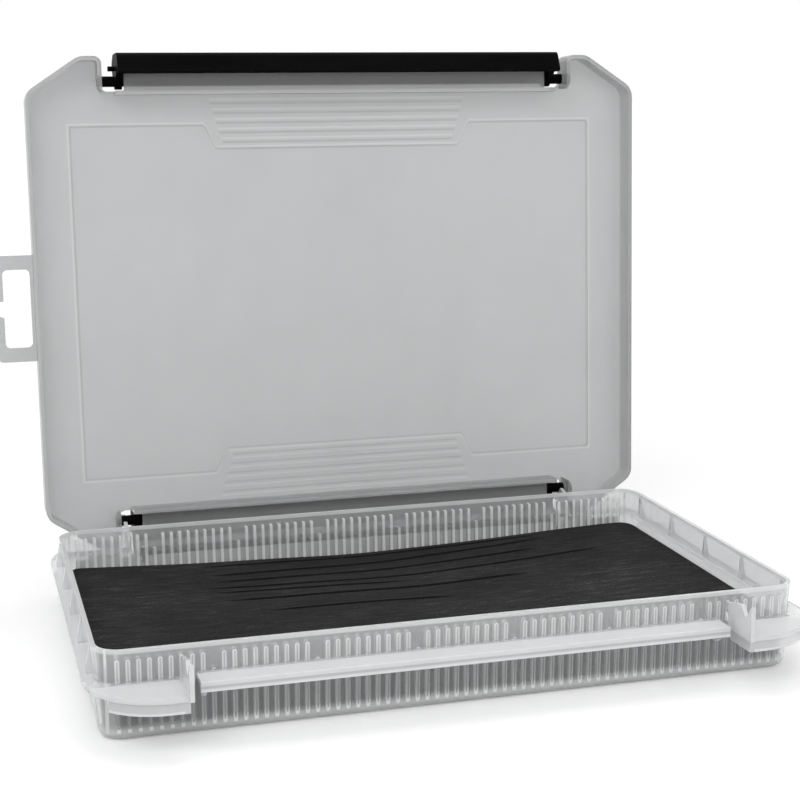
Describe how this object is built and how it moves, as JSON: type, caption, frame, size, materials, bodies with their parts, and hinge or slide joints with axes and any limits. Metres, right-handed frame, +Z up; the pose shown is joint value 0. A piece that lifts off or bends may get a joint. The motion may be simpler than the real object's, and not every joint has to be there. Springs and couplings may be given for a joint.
{
  "type": "terminal tackle box",
  "caption": "Flat frosted tackle case with a slit foam pad, an open lid with a hang tab, and a black hook-over bar along each long side: one the hinge, the other the latch.",
  "frame": {"origin": "centre of the tray's underside, on the table", "axes": "+X to the right seen from the latch side, -Y towards the latch side, +Z up"},
  "size_m": [0.2715, 0.199, 0.2188],
  "materials": {
    "frosted_plastic": "frosted translucent polypropylene, satin",
    "black_plastic": "moulded black, semi-gloss",
    "charcoal_foam": "cut closed-cell foam, dull"
  },
  "bodies": {
    "base": {"base_tray": "frosted_plastic", "rear_hinge_bar": "black_plastic"},
    "lid": {"lid": "frosted_plastic"},
    "latch": {"front_latch": "black_plastic"},
    "foam": {"slit_foam_pad": "charcoal_foam"}
  },
  "joints": [
    {"name": "lid_hinge", "type": "hinge", "parent": "base", "child": "lid", "pos_m": [0, 0.0891, 0.0296], "axis": [-1, 0, 0], "range_deg": [-92.7, 0]},
    {"name": "latch_hinge", "type": "hinge", "parent": "lid", "child": "latch", "pos_m": [0, 0.09749, 0.2076], "axis": [-1, 0, 0], "range_deg": [-38, 54.7]},
    {"name": "foam_lift", "type": "slide", "parent": "base", "child": "foam", "axis": [0, 0, 1], "range_m": [0, 0.04]}
  ]
}
